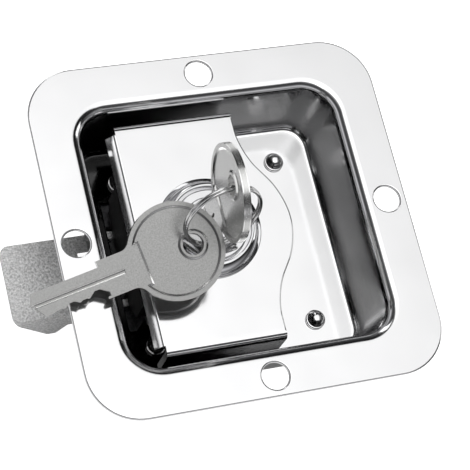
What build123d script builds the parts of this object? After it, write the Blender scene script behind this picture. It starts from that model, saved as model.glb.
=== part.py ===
"""Flush paddle latch with a cam lock, a slam bolt and two keys on a split ring.

Origin: centre of the square flange, on its back face, which seats on the panel.
+X points away from the bolt, towards the finger tab, +Y up, +Z out of the panel.
All sizes are in millimetres.
"""
import os
from math import atan2, cos, degrees, radians, sqrt, tan

from build123d import *

os.makedirs("parts", exist_ok=True)

# Driving dimensions: the dished pan
FLANGE_WIDE = 12.6      # flange from the dish's mouth to its edge
PLATE_R = 13.6          # its corner radius
SHEET = 1.2             # stainless sheet of the pan
HOLE_EDGE = 5.36        # flange hole centres from the flange's edge
HOLE_R = 3.55           # flange holes
MOUTH_HALF = 34.9       # half of the dish at the flange, before the lip is rounded
DRAFT = 1.7             # how much the dish's hollow narrows down to its floor
MOUTH_R = 8.4           # corner radius of the dish at the flange
DEPTH = 22.9            # flange face to floor
LIP_R = 3.0             # rounded lip of the dish
FOOT_R = 1.6            # rounding between wall and floor

# Driving dimensions: the paddle
PADDLE_SHEET = 1.8
PADDLE_SET = 3.4        # flange face to paddle face
LEFT_GAP = 5.8          # dish's wall to the tip of the sloped left lip, at the floor
SIDE_GAP = 1.3          # dish's wall to the turned-down sides, at the floor
BEZEL_OVER = 0.15       # bezel past the paddle's straight right edge
PADDLE_SIDE = 11.8      # how far the sides reach down
PADDLE_LIP = 2.4        # how far the left lip drops, and reaches out, at 45 degrees
PADDLE_BEND = 1.7       # outside radius of the bends
PADDLE_NOTCH = 2.9      # the lip's ends stop this far from the sides
TAB_REACH = 9.1         # straight right edge to the finger tab's outer end
TAB_HALF = 6.6          # half of its straight end
TAB_ROOT = 20.0         # half of its root

# Driving dimensions: hinge and lever
LIFT = 33.0             # how far the paddle lifts, in degrees
HINGE_INSET = 3.0       # paddle's left crease to the hinge axis
HINGE_DROP = 9.3        # paddle face to the hinge axis
HINGE_PIN_R = 2.5
HINGE_RUN = 0.05        # radial running clearance on the hinge pin
EAR_R = 3.9             # half width of the ears that hold the pin
WINDOW_BEHIND = 6.0     # opening in the floor, left of the hinge axis
WINDOW_AHEAD = 10.0     # and right of it, that the lever works through
WINDOW_HALF = 18.0
CLIP_THICK = 0.8        # retaining clip of the pin
LEVER_SHEET = 1.8
LEVER_GAP = 0.3         # sideways, between the lever and the ears
LEVER_NARROW = 2.2      # how much it narrows below the pin
LEVER_FACE = 3.4        # drive face of the lever, left of the hinge axis
TONGUE_HALF = 8.0       # half width of the tongue that enters the bolt
TONGUE_REACH = 18.6     # hinge axis to the tip of the tongue

# Driving dimensions: the bolt
BOLT_SHEET = 2.0
BOLT_HALF = 10.6
BOLT_PROUD = 9.4        # flange edge to the bolt's tip
BOLT_WEB = 20.1         # length of the front web, up to the opening for the lever
BOLT_REAR = 21.0        # length of the rear web
BOLT_TAIL_REACH = 30.0  # hinge axis to the bolt's tail
BOLT_BEVEL = 10.6       # length of the cheeks' bevel
BOLT_LAND = 2.2         # flat tip of a cheek
BOLT_HEEL = 2.6         # length of its short rear slope
BOLT_ARM = 8.2          # height of the two arms
BOLT_NOSE = 14.0        # height of the nose at its deepest
BOLT_CORNER_R = 2.2
BOLT_RUN = 0.3          # clearance under the floor
GUIDE_RUN = 0.4         # clearance in the rear bracket
DRIVE_PIN_R = 2.0
DRIVE_DROP = 15.5       # hinge axis down to the drive pin
DRIVE_GAP = 0.15        # between the lever's drive face and the pin

# Driving dimensions: the rear bracket, its rivets and the return spring
BRACKET_SHEET = 2.0
BRACKET_HALF = 31.0     # half of its length along X
RIVET_INSET = 8.7       # bracket end to the rivets
RIVET_EDGE = 4.9        # bracket flange edge to the rivets
RIVET_ASIDE = 5.1       # floor opening to the rivets
RIVET_R = 2.0
RIVET_HEAD_R = 2.65
RIVET_HEAD = 3.2
SPRING_R = 3.2          # to the middle of the wire
SPRING_WIRE = 1.0
SPRING_TURNS = 7
ROD_R = 2.0
ROD_REACH = 10.0        # guide rod inside the spring

# Driving dimensions: the cam lock
LOCK_GAP = 0.4          # between the lever's ears and the washer
BEZEL_LAP = 1.55        # bezel past the barrel's flange, all round
EYE_GAP = 0.7           # groove between the barrel's face and the bezel
BEZEL_RISE = 3.4        # bezel height over the paddle face
FLANGE_STEP = 2.6       # barrel flange past the barrel, under the bezel
FLANGE_THICK = 0.9
FACE_STEP = 0.2         # raised face past the barrel, inside the bezel
FACE_RISE = 3.1
BARREL_R = 9.5
BARREL_FLAT_CUT = 0.9   # depth of each of its two flats
BARREL_FIT = 0.1        # barrel in the paddle's hole
BARREL_LONG = 14.3      # paddle face to the barrel's end
NUT_WALL = 1.5          # nut past the barrel, at its flats
NUT_THICK = 3.4
WASHER_THICK = 0.8
WASHER_RIM = 1.7        # washer past the barrel
BARREL_WALL = 3.5       # barrel round its bore
PLUG_RUN = 0.05
PLUG_HEAD_STEP = 1.4    # plug's head past the plug
PLUG_HEAD = 1.1
PLUG_PROUD = 0.6        # plug face over the barrel face
KEYWAY_FIT = 0.15
TAIL_SHARE = 7 / 12     # square tail that carries the cam, against the plug's radius
CAM_THICK = 2.0
CAM_REACH = 15.0
CAM_HALF = 4.5
CAM_HUB_STEP = 0.3      # cam's hub past the plug
SCREW_R = 2.0
SCREW_HEAD_R = 4.3
SCREW_HEAD = 1.2
SCREW_SLOT = 2.4        # half length of its cross slots
WAFERS = 5
WAFER_THICK = 1.0
WAFER_WIDE = 4.6
WAFER_FIT = 0.1

# Driving dimensions: the keeper that the cam turns under
KEEPER_SHEET = 1.5
KEEPER_GAP = 0.4        # over the cam
KEEPER_SET = 11.0       # lock axis to the keeper
KEEPER_LONG = 6.0
KEEPER_STOP = 5.0       # upright that stops the cam, from the lock's axis
KEEPER_BASE = 9.0       # end of its base, from the lock's axis
KEEPER_ARM = 6.0        # end of the arm over the cam

# Driving dimensions: the keys and their ring
KEY_THICK = 1.9
KEY_HEAD_R = 12.45
KEY_RIM = 1.1           # raised rim round the head
KEY_SUNK = 0.35         # how deep the head's middle lies under the rim
KEY_HOLE_R = 2.7
KEY_HOLE = 4.6          # head centre to hole centre, away from the blade
KEY_PANEL = 8.7         # where the raised neck starts
KEY_NECK_HALF = 4.9
KEY_NECK_R = 3.0        # rounding between head and neck
KEY_SHOULDER = 19.9     # head centre to the shoulder
KEY_TIP = 38.7          # head centre to the tip
KEY_BLADE_HALF = 3.3
KEY_GROOVE = 1.3        # width of the groove along the blade
KEY_GROOVE_DEEP = 0.4
KEY_GROOVE_LEAD = 6.0   # how far the groove runs past the shoulder, into the neck
KEY_POINT = 2.7         # long bevel of the tip, on the cut edge
KEY_POINT_BACK = 1.2    # and its short bevel
KEY_CUTS = ((22.1, 1.5), (25.6, 0.5), (29.0, 1.0), (32.4, 0.4))
KEY_SEAT = 0.2          # shoulder over the plug's face
RING_R = 10.2           # to the middle of the wire
RING_WIRE = 1.0         # height of one turn's wire, across the ring
RING_TURN = 0.85        # thickness of one turn's wire, along the ring's axis
RING_GAP = 0.05         # slit between the two turns
RING_HANG = 1.6         # ring under the middle of the key's hole
RING_LEAN = Vector(0.15, -0.94, 0.34)       # axis of the ring, roughly
RING_EASE_ALONG = -0.3                      # where it passes in the spare key's hole
RING_EASE_ACROSS = -0.6
SPARE_FACE = Vector(-0.10, -0.28, 0.95)     # which way the spare key's face looks, roughly
SPARE_LEFT = 8.6        # spare key's hole from the hole of the key in the lock
SPARE_SIDE = 7.3
SPARE_DROP = 17.8
TIP_LEFT = 50.0         # spare key's tip from the same hole
TIP_SIDE = 15.6
TIP_DROP = 22.8

# Heights and places worked out from the sizes above
PLATE = 2 * (MOUTH_HALF + FLANGE_WIDE)
HOLE_REACH = PLATE / 2 - HOLE_EDGE
FLOOR_HALF = MOUTH_HALF - DRAFT
PADDLE_HALF = FLOOR_HALF - SIDE_GAP
PADDLE_CREASE = PADDLE_LIP + LEFT_GAP - FLOOR_HALF
HINGE_X = PADDLE_CREASE + HINGE_INSET
BARREL_FLAT = BARREL_R - BARREL_FLAT_CUT
PLUG_R = BARREL_R - BARREL_WALL
PLUG_HEAD_R = PLUG_R + PLUG_HEAD_STEP
TAIL_HALF = PLUG_R * TAIL_SHARE
CAM_HUB_R = PLUG_R + CAM_HUB_STEP
FACE_R = BARREL_R + FACE_STEP
BEZEL_EYE = FACE_R + EYE_GAP
FLANGE_R = BARREL_R + FLANGE_STEP
BEZEL_R = FLANGE_R + BEZEL_LAP
NUT_FLAT = BARREL_R + NUT_WALL
WASHER_R = BARREL_R + WASHER_RIM
LOCK_X = HINGE_X + EAR_R + LOCK_GAP + WASHER_R
PADDLE_RIGHT = LOCK_X + BEZEL_R - BEZEL_OVER
TAB_END = PADDLE_RIGHT + TAB_REACH
WINDOW_LEFT = HINGE_X - WINDOW_BEHIND
WINDOW_RIGHT = HINGE_X + WINDOW_AHEAD
BOLT_TIP = -PLATE / 2 - BOLT_PROUD
BOLT_TAIL = HINGE_X + BOLT_TAIL_REACH
BOLT_WEB_END = BOLT_TIP + BOLT_WEB
BOLT_OPEN_END = BOLT_TAIL - BOLT_REAR
RIVET_X = BRACKET_HALF - RIVET_INSET
RIVET_Y = WINDOW_HALF + RIVET_ASIDE
BRACKET_WIDE = RIVET_Y + RIVET_EDGE
KEEPER_X = LOCK_X + KEEPER_SET
FLANGE_FACE = SHEET
FLOOR_TOP = FLANGE_FACE - DEPTH
FLOOR_BACK = FLOOR_TOP - SHEET
PADDLE_FACE = FLANGE_FACE - PADDLE_SET
PADDLE_BACK = PADDLE_FACE - PADDLE_SHEET
HINGE_Z = PADDLE_FACE - HINGE_DROP
LIP_FOOT = PADDLE_FACE - PADDLE_LIP - PADDLE_SHEET / sqrt(2)
LIP_ROOT = PADDLE_CREASE + PADDLE_SHEET * tan(radians(22.5))
BOLT_TOP = FLOOR_BACK - BOLT_RUN
BOLT_FOOT = BOLT_TOP - BOLT_ARM
GUIDE_IN = BOLT_HALF + GUIDE_RUN
GUIDE_OUT = GUIDE_IN + BRACKET_SHEET
GUIDE_FLOOR = BOLT_FOOT - GUIDE_RUN
SPRING_Z = (FLOOR_BACK + GUIDE_FLOOR) / 2
LEVER_HALF = WINDOW_HALF - SHEET - LEVER_GAP
DRIVE_Z = HINGE_Z - DRIVE_DROP
DRIVE_X = HINGE_X - LEVER_FACE + DRIVE_GAP + DRIVE_PIN_R
FACE_Z = PADDLE_FACE + FACE_RISE
PLUG_FACE = FACE_Z + PLUG_PROUD
BARREL_END = PADDLE_FACE - BARREL_LONG
KEY_Z = PLUG_FACE + KEY_SEAT + KEY_SHOULDER
KEYWAY_END = KEY_Z - KEY_TIP - 2 * KEYWAY_FIT
CAM_TOP = min(BARREL_END - 1.0, KEYWAY_END - KEYWAY_FIT)
CAM_BACK = CAM_TOP - CAM_THICK
KEY_EYE = Vector(LOCK_X, 0, KEY_Z + KEY_HOLE)
RING_TOP = KEY_EYE - Vector(0, 0, RING_HANG)
SPARE_HOLE = KEY_EYE - Vector(SPARE_LEFT, SPARE_SIDE, SPARE_DROP)
SPARE_TIP = KEY_EYE - Vector(TIP_LEFT, TIP_SIDE, TIP_DROP)

# The lever pushes the drive pin, so the paddle's lift sets the bolt's travel.
BOLT_TRAVEL = DRIVE_DROP * tan(radians(LIFT)) + (DRIVE_X - HINGE_X) * (1 / cos(radians(LIFT)) - 1)


def block(x0, x1, y0, y1, z0, z1):
    """A rectangular solid between two opposite corners."""
    middle = Pos((x0 + x1) / 2, (y0 + y1) / 2, (z0 + z1) / 2)
    return middle * Box(abs(x1 - x0), abs(y1 - y0), abs(z1 - z0))


def post(radius, x, y, z0, z1):
    """A round bar that stands along Z."""
    return Pos(x, y, (z0 + z1) / 2) * Cylinder(radius, abs(z1 - z0))


def cross_bar(radius, x, z, y0, y1):
    """A round bar that lies along Y."""
    return Pos(x, (y0 + y1) / 2, z) * Rot(90, 0, 0) * Cylinder(radius, abs(y1 - y0))


def long_bar(radius, y, z, x0, x1):
    """A round bar that lies along X."""
    return Pos((x0 + x1) / 2, y, z) * Rot(0, 90, 0) * Cylinder(radius, abs(x1 - x0))


def side_plate(shape, y0, y1):
    """A sketch drawn in (x, z), made into a plate from y0 to y1."""
    return extrude(Plane.XZ.offset(-y0) * shape, amount=y0 - y1)


def both_sides(part):
    """The part and its mirror image across the latch's middle."""
    return part + mirror(part, about=Plane.XZ)


def edges_within(part, z, half, tolerance=0.01):
    """The edges at one height that stay inside a square of the given half width."""
    found = []
    for edge in part.edges():
        box = edge.bounding_box()
        level = abs(box.min.Z - z) < tolerance and abs(box.max.Z - z) < tolerance
        reach = max(-box.min.X, box.max.X, -box.min.Y, box.max.Y)
        if level and reach < half:
            found.append(edge)
    return ShapeList(found)


def dish_half(z):
    """Half width of the dish's hollow at a height, along its drafted wall."""
    rise = (z - FLOOR_TOP) / (FLANGE_FACE - FLOOR_TOP)
    return FLOOR_HALF + (MOUTH_HALF - FLOOR_HALF) * rise


def dish(top, bottom, skin):
    """A drafted square plug with round corners, thicker than the hollow by a skin."""
    draft = degrees(atan2(MOUTH_HALF - FLOOR_HALF, DEPTH))
    narrow = MOUTH_HALF - dish_half(top)
    side = 2 * (MOUTH_HALF + skin - narrow)
    mouth = Pos(0, 0, top) * RectangleRounded(side, side, MOUTH_R + skin - narrow)
    return extrude(mouth, top - bottom, dir=(0, 0, -1), taper=draft)


def hinge_ear():
    """One ear, folded up from the floor's opening to hold the hinge pin."""
    outline = Pos(HINGE_X, HINGE_Z) * Circle(EAR_R)
    height = HINGE_Z - FLOOR_BACK
    outline += Pos(HINGE_X, HINGE_Z - height / 2) * Rectangle(2 * EAR_R, height)
    outline -= Pos(HINGE_X, HINGE_Z) * Circle(HINGE_PIN_R)
    return side_plate(outline, WINDOW_HALF - SHEET, WINDOW_HALF)


def make_pan():
    """Flange and dish, drawn from one sheet, with the holes and the folded ears."""
    flange = extrude(RectangleRounded(PLATE, PLATE, PLATE_R), SHEET)
    pan = flange + dish(SHEET / 2, FLOOR_BACK, SHEET) - dish(FLANGE_FACE, FLOOR_TOP, 0)
    pan = fillet(edges_within(pan, FLANGE_FACE, MOUTH_HALF + SHEET), LIP_R)
    pan = fillet(edges_within(pan, 0, MOUTH_HALF + 2 * SHEET), LIP_R - SHEET)
    pan = fillet(edges_within(pan, FLOOR_TOP, FLOOR_HALF + SHEET / 2), FOOT_R)
    pan = fillet(edges_within(pan, FLOOR_BACK, FLOOR_HALF + 2 * SHEET), FOOT_R + SHEET)
    for x, y in ((HOLE_REACH, 0), (-HOLE_REACH, 0), (0, HOLE_REACH), (0, -HOLE_REACH)):
        pan -= post(HOLE_R, x, y, -SHEET, 2 * SHEET)
    pan -= block(WINDOW_LEFT, WINDOW_RIGHT, -WINDOW_HALF, WINDOW_HALF, FLOOR_BACK - 1, FLOOR_TOP + 1)
    for x in (-RIVET_X, RIVET_X):
        for y in (-RIVET_Y, RIVET_Y):
            pan -= post(RIVET_R, x, y, FLOOR_BACK - 1, FLOOR_TOP + 1)
    return pan + both_sides(hinge_ear())


def make_rear_bracket():
    """Hat-shaped guide behind the floor, with the spring's end tab folded up inside."""
    back = GUIDE_FLOOR - BRACKET_SHEET
    seat = FLOOR_BACK - BRACKET_SHEET
    long = 2 * BRACKET_HALF
    hat = Pos(0, 0, (GUIDE_FLOOR + back) / 2) * Box(long, 2 * GUIDE_OUT, BRACKET_SHEET)
    for side in (-1, 1):
        hat += block(-BRACKET_HALF, BRACKET_HALF, side * GUIDE_IN, side * GUIDE_OUT, back, FLOOR_BACK)
        hat += block(-BRACKET_HALF, BRACKET_HALF, side * GUIDE_IN, side * BRACKET_WIDE, seat, FLOOR_BACK)
    bends = hat.edges().filter_by(Axis.X)
    outer = [e for e in bends if abs(abs(e.center().Y) - GUIDE_OUT) < 0.01 and e.center().Z < seat - 1]
    inner = [e for e in bends if abs(abs(e.center().Y) - GUIDE_IN) < 0.01 and e.center().Z > seat]
    hat = fillet(outer + inner, BRACKET_SHEET * 0.8)
    tab_top = BOLT_TOP - 1.0
    hat += block(BRACKET_HALF - BRACKET_SHEET, BRACKET_HALF, -BOLT_HALF + 1, BOLT_HALF - 1, back, tab_top)
    hat -= long_bar(ROD_R, 0, SPRING_Z, BRACKET_HALF - 2 * BRACKET_SHEET, BRACKET_HALF + 1)
    for x in (-RIVET_X, RIVET_X):
        for y in (-RIVET_Y, RIVET_Y):
            hat -= post(RIVET_R, x, y, seat - 1, FLOOR_BACK + 1)
    return hat


def make_rivets():
    """Four rivets through the floor and the bracket, with ringed heads in the dish."""
    tail = 1.4
    crown = RIVET_HEAD_R * 0.8
    ring = RIVET_HEAD * 0.25
    seat = FLOOR_BACK - BRACKET_SHEET
    head = post(crown, 0, 0, FLOOR_TOP, FLOOR_TOP + RIVET_HEAD)
    head = chamfer(head.edges().group_by(Axis.Z)[-1], crown * 0.45)
    rivet = head + post(RIVET_HEAD_R, 0, 0, FLOOR_TOP, FLOOR_TOP + ring)
    rivet += post(RIVET_R, 0, 0, seat - tail / 2, FLOOR_TOP + ring / 2)
    upset = post(RIVET_HEAD_R + 0.3, 0, 0, seat - tail, seat)
    rivet += chamfer(upset.edges().group_by(Axis.Z)[0], tail * 0.4)
    return [Pos(x, y, 0) * rivet for x in (-RIVET_X, RIVET_X) for y in (-RIVET_Y, RIVET_Y)]


def make_hinge_pin():
    """Headed pin through the two ears, grooved for its clip."""
    head = 1.5
    pin = cross_bar(HINGE_PIN_R, HINGE_X, HINGE_Z, -WINDOW_HALF, WINDOW_HALF + CLIP_THICK + 1.2)
    pin += cross_bar(HINGE_PIN_R + 1.3, HINGE_X, HINGE_Z, -WINDOW_HALF - head, -WINDOW_HALF)
    groove = cross_bar(HINGE_PIN_R + 1, HINGE_X, HINGE_Z, WINDOW_HALF, WINDOW_HALF + CLIP_THICK)
    groove -= cross_bar(HINGE_PIN_R - 0.5, HINGE_X, HINGE_Z, WINDOW_HALF, WINDOW_HALF + CLIP_THICK)
    return pin - groove


def make_hinge_clip():
    """Open retaining clip that snaps into the pin's groove."""
    inner = HINGE_PIN_R - 0.5
    clip = cross_bar(HINGE_PIN_R + 1.6, HINGE_X, HINGE_Z, WINDOW_HALF, WINDOW_HALF + CLIP_THICK)
    clip -= cross_bar(inner, HINGE_X, HINGE_Z, WINDOW_HALF - 1, WINDOW_HALF + 2)
    mouth = block(HINGE_X - inner * 0.8, HINGE_X + inner * 0.8, WINDOW_HALF - 1, WINDOW_HALF + 2,
                  HINGE_Z - 3 * HINGE_PIN_R, HINGE_Z)
    return clip - mouth


def make_bolt():
    """Channel-shaped slam bolt: front web, bevelled cheeks, two arms and a rear seat."""
    inner = BOLT_HALF - BOLT_SHEET
    nose = BOLT_TOP - BOLT_NOSE
    bevel_end = BOLT_TIP + BOLT_BEVEL
    cheek = Polyline(
        (BOLT_TIP, BOLT_TOP),
        (BOLT_TIP, BOLT_TOP - BOLT_SHEET),
        (bevel_end, nose),
        (bevel_end + BOLT_LAND, nose),
        (bevel_end + BOLT_LAND + BOLT_HEEL, BOLT_FOOT),
        (BOLT_TAIL, BOLT_FOOT),
        (BOLT_TAIL, BOLT_TOP),
        close=True,
    )
    profile = make_face(cheek)
    tips = profile.vertices().sort_by(Axis.Y)[:2]
    profile = fillet(tips, 1.0)
    bolt = both_sides(side_plate(profile, inner, BOLT_HALF))
    bolt += block(BOLT_TIP, BOLT_WEB_END, -BOLT_HALF, BOLT_HALF, BOLT_TOP - BOLT_SHEET, BOLT_TOP)
    bolt += block(BOLT_OPEN_END, BOLT_TAIL, -BOLT_HALF, BOLT_HALF, BOLT_TOP - BOLT_SHEET, BOLT_TOP)
    bolt += block(BOLT_TAIL - BOLT_SHEET, BOLT_TAIL, -inner, inner, BOLT_FOOT + 0.4, BOLT_TOP)
    plan = block(BOLT_TIP, BOLT_TAIL, -BOLT_HALF, BOLT_HALF, BOLT_TOP - 2 * BOLT_NOSE, BOLT_TOP + 1)
    bolt = bolt & fillet(plan.edges().filter_by(Axis.Z).group_by(Axis.X)[0], BOLT_CORNER_R)
    bolt -= cross_bar(DRIVE_PIN_R, DRIVE_X, DRIVE_Z, -BOLT_HALF - 1, BOLT_HALF + 1)
    return bolt


def make_drive_pin():
    """Cross pin in the bolt's arms that the lever pushes."""
    return cross_bar(DRIVE_PIN_R, DRIVE_X, DRIVE_Z, -BOLT_HALF, BOLT_HALF)


def make_spring():
    """Square-wire spring that throws the bolt out, between its tail and the bracket's tab."""
    wire = SPRING_WIRE / 2
    start = BOLT_TAIL + wire
    length = BRACKET_HALF - BRACKET_SHEET - wire - start
    path = Helix(length / SPRING_TURNS, length, SPRING_R)
    section = Plane(origin=path @ 0, z_dir=path % 0) * Rectangle(SPRING_WIRE, SPRING_WIRE)
    coil = sweep(section, path=path, is_frenet=True)
    return Pos(start, 0, SPRING_Z) * Rot(0, 90, 0) * coil


def make_spring_rod():
    """Guide rod, riveted in the bracket's tab, that keeps the spring straight."""
    seat = BRACKET_HALF - BRACKET_SHEET
    rod = long_bar(ROD_R, 0, SPRING_Z, seat - ROD_REACH, BRACKET_HALF)
    rod += long_bar(ROD_R + 1, 0, SPRING_Z, BRACKET_HALF, BRACKET_HALF + 1.2)
    return chamfer(rod.edges().group_by(Axis.X)[0], ROD_R * 0.3)


def tab_outline():
    """Plan of the paddle's flat sheet, with the finger tab drawn in arcs."""
    reach = TAB_END - PADDLE_RIGHT
    run = TAB_ROOT - TAB_HALF
    middle_x = PADDLE_RIGHT + reach / 2
    middle_y = (TAB_ROOT + TAB_HALF) / 2
    bow = 0.25 * sqrt(reach ** 2 + run ** 2) * reach / run * 0.5
    quarter = Vector(reach, -run).normalized()
    across = Vector(quarter.Y, -quarter.X)
    near = Vector(PADDLE_RIGHT, TAB_ROOT)
    centre = Vector(middle_x, middle_y)
    far = Vector(TAB_END, TAB_HALF)
    first = (near + centre) * 0.5 + across * bow
    second = (centre + far) * 0.5 - across * bow
    upper = [
        Line((0, PADDLE_HALF), (PADDLE_RIGHT, PADDLE_HALF)),
        Line((PADDLE_RIGHT, PADDLE_HALF), (PADDLE_RIGHT, TAB_ROOT)),
        ThreePointArc(near, first, centre),
        ThreePointArc(centre, second, far),
        Line((TAB_END, TAB_HALF), (TAB_END, 0)),
        Line((TAB_END, 0), (0, 0)),
        Line((0, 0), (0, PADDLE_HALF)),
    ]
    half = make_face(Curve() + upper)
    left = Pos(PADDLE_CREASE / 2, PADDLE_HALF / 2) * Rectangle(-PADDLE_CREASE, PADDLE_HALF)
    half += left
    return half + mirror(half, about=Plane.XZ)


def make_paddle():
    """Pressed paddle: flat face, turned-down sides and left lip, finger tab, lock hole."""
    side_end = PADDLE_RIGHT - 0.7
    lip_half = PADDLE_HALF - PADDLE_NOTCH
    paddle = extrude(Pos(0, 0, PADDLE_BACK) * tab_outline(), PADDLE_SHEET)
    foot = PADDLE_FACE - PADDLE_SIDE
    for side in (-1, 1):
        inner = side * (PADDLE_HALF - PADDLE_SHEET)
        paddle += block(PADDLE_CREASE, side_end, inner, side * PADDLE_HALF, foot, PADDLE_FACE)
    thick = PADDLE_SHEET / sqrt(2)
    lip = make_face(Polyline(
        (PADDLE_CREASE, PADDLE_FACE), (PADDLE_CREASE - PADDLE_LIP, PADDLE_FACE - PADDLE_LIP),
        (PADDLE_CREASE - PADDLE_LIP + thick, LIP_FOOT), (LIP_ROOT, PADDLE_BACK), close=True))
    paddle += side_plate(lip, -lip_half, lip_half)
    top = paddle.edges().group_by(Axis.Z)[-1]
    bends = [e for e in top if abs(abs(e.center().Y) - PADDLE_HALF) < 0.01]
    paddle = fillet(bends, PADDLE_BEND)
    hole = Circle(BARREL_R + BARREL_FIT) & Rectangle(2 * (BARREL_FLAT + BARREL_FIT), 4 * BARREL_R)
    return paddle - extrude(Pos(LOCK_X, 0, PADDLE_BACK - 1) * hole, PADDLE_SHEET + 2)


def make_lever():
    """Folded lever welded under the paddle: weld plate, two ears on the pin and a tongue."""
    left = HINGE_X - LEVER_FACE - LEVER_SHEET
    right = HINGE_X + EAR_R
    weld_left = LIP_ROOT + LEVER_GAP
    plate_top = LIP_FOOT - LEVER_GAP
    weld_foot = PADDLE_BACK - LEVER_SHEET
    ear = Pos(HINGE_X, HINGE_Z) * Circle(EAR_R)
    ear += make_face(Polyline(
        (weld_left, PADDLE_BACK), (right, PADDLE_BACK), (right, HINGE_Z), (HINGE_X, HINGE_Z - EAR_R),
        (left, HINGE_Z - EAR_R), (left, plate_top), (weld_left, plate_top), close=True))
    ear -= Pos(HINGE_X, HINGE_Z) * Circle(HINGE_PIN_R + HINGE_RUN)
    lever = both_sides(side_plate(ear, LEVER_HALF - LEVER_SHEET, LEVER_HALF))
    lever += block(weld_left, right, -LEVER_HALF, LEVER_HALF, weld_foot, PADDLE_BACK)
    waist = FLOOR_TOP + 2.0
    shoulder = LEVER_HALF - LEVER_NARROW
    slope = HINGE_Z - EAR_R - LEVER_NARROW
    tip = HINGE_Z - TONGUE_REACH
    plate = Polyline(
        (-LEVER_HALF, plate_top), (LEVER_HALF, plate_top), (LEVER_HALF, HINGE_Z - EAR_R), (shoulder, slope),
        (shoulder, waist), (TONGUE_HALF, waist), (TONGUE_HALF, tip), (-TONGUE_HALF, tip),
        (-TONGUE_HALF, waist), (-shoulder, waist), (-shoulder, slope), (-LEVER_HALF, HINGE_Z - EAR_R),
        close=True)
    lever += extrude(Plane.YZ.offset(left) * make_face(plate), LEVER_SHEET)
    return lever


def make_bezel():
    """Domed chrome ring round the lock, hollowed below for the barrel's flange."""
    base = PADDLE_FACE
    step = base + FLANGE_THICK + BARREL_FIT
    eye = FLANGE_R + BARREL_FIT
    crest = (BEZEL_R + BEZEL_EYE) / 2
    section = make_face(Polyline(
        (eye, base), (BEZEL_R, base), (BEZEL_R, base + BEZEL_RISE * 0.25),
        (BEZEL_R - 0.5, base + BEZEL_RISE * 0.8), (crest + 0.35, base + BEZEL_RISE),
        (crest - 0.35, base + BEZEL_RISE), (BEZEL_EYE + 0.35, base + BEZEL_RISE * 0.85),
        (BEZEL_EYE, base + BEZEL_RISE * 0.6), (BEZEL_EYE, step), (eye, step), close=True))
    return Pos(LOCK_X, 0, 0) * revolve(Plane.XZ * section, Axis.Z)


def make_barrel():
    """Lock barrel: flange on the paddle, raised face, flatted body and the plug's bore."""
    flats = block(-BARREL_FLAT, BARREL_FLAT, -BARREL_R, BARREL_R, BARREL_END, PADDLE_FACE)
    barrel = post(BARREL_R, 0, 0, BARREL_END, PADDLE_FACE) & flats
    barrel += post(FLANGE_R, 0, 0, PADDLE_FACE, PADDLE_FACE + FLANGE_THICK)
    face = post(FACE_R, 0, 0, PADDLE_FACE, FACE_Z)
    barrel += chamfer(face.edges().group_by(Axis.Z)[-1], 0.3)
    barrel -= post(PLUG_R + PLUG_RUN, 0, 0, BARREL_END - 1, FACE_Z + 1)
    barrel -= post(PLUG_HEAD_R + PLUG_RUN, 0, 0, PLUG_FACE - PLUG_HEAD, FACE_Z + 1)
    return Pos(LOCK_X, 0, 0) * barrel


def make_washer():
    """Washer between the paddle and the nut."""
    washer = extrude(Circle(WASHER_R) - Circle(BARREL_R), WASHER_THICK)
    return Pos(LOCK_X, 0, PADDLE_BACK - WASHER_THICK) * washer


def make_nut():
    """Hexagon nut that clamps the barrel to the paddle."""
    top = PADDLE_BACK - WASHER_THICK
    nut = extrude(RegularPolygon(NUT_FLAT, 6, major_radius=False, rotation=30), NUT_THICK)
    drum = post(NUT_FLAT * 1.13, 0, 0, 0, NUT_THICK)
    nut = nut & chamfer(drum.edges().group_by(Axis.Z)[0], NUT_THICK * 0.25)
    nut -= Cylinder(BARREL_R, 4 * NUT_THICK)
    return Pos(LOCK_X, 0, top - NUT_THICK) * nut


def wafer_heights():
    """Where the wafers lie along the keyway."""
    first = PLUG_FACE - PLUG_HEAD - 2.0
    pitch = (first - KEYWAY_END - 2.0) / (WAFERS - 1)
    return [first - pitch * step for step in range(WAFERS)]


def make_plug():
    """Turning plug with its keyway, wafer slots and square tail."""
    plug = post(PLUG_R, 0, 0, CAM_TOP, PLUG_FACE - PLUG_HEAD / 2)
    head = post(PLUG_HEAD_R, 0, 0, PLUG_FACE - PLUG_HEAD + PLUG_RUN, PLUG_FACE)
    plug += chamfer(head.edges().group_by(Axis.Z)[-1], 0.3)
    plug += block(-TAIL_HALF, TAIL_HALF, -TAIL_HALF, TAIL_HALF, CAM_BACK, CAM_TOP)
    width = KEY_THICK / 2 + KEYWAY_FIT
    high = KEY_BLADE_HALF + KEYWAY_FIT
    plug -= block(-width, width, -high, high, KEYWAY_END, PLUG_FACE + 1)
    for z in wafer_heights():
        half = WAFER_THICK / 2
        wide = WAFER_WIDE / 2
        plug -= block(-wide, wide, -PLUG_R, PLUG_R, z - half, z + half)
    plug -= post(SCREW_R, 0, 0, CAM_BACK - 1, CAM_TOP)
    return Pos(LOCK_X, 0, 0) * plug


def make_wafers():
    """Flat wafers in the plug, each with a window that the key passes through."""
    wafers = []
    for z in wafer_heights():
        half = (WAFER_THICK - WAFER_FIT) / 2
        wide = (WAFER_WIDE - WAFER_FIT) / 2
        high = PLUG_R * 0.88
        wafer = block(-wide, wide, -high, high, z - half, z + half)
        window_x = KEY_THICK / 2 + 2 * KEYWAY_FIT
        window_y = KEY_BLADE_HALF + 2 * KEYWAY_FIT
        wafer -= block(-window_x, window_x, -window_y, window_y, z - 1, z + 1)
        wafers.append(Pos(LOCK_X, 0, 0) * wafer)
    return wafers


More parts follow.
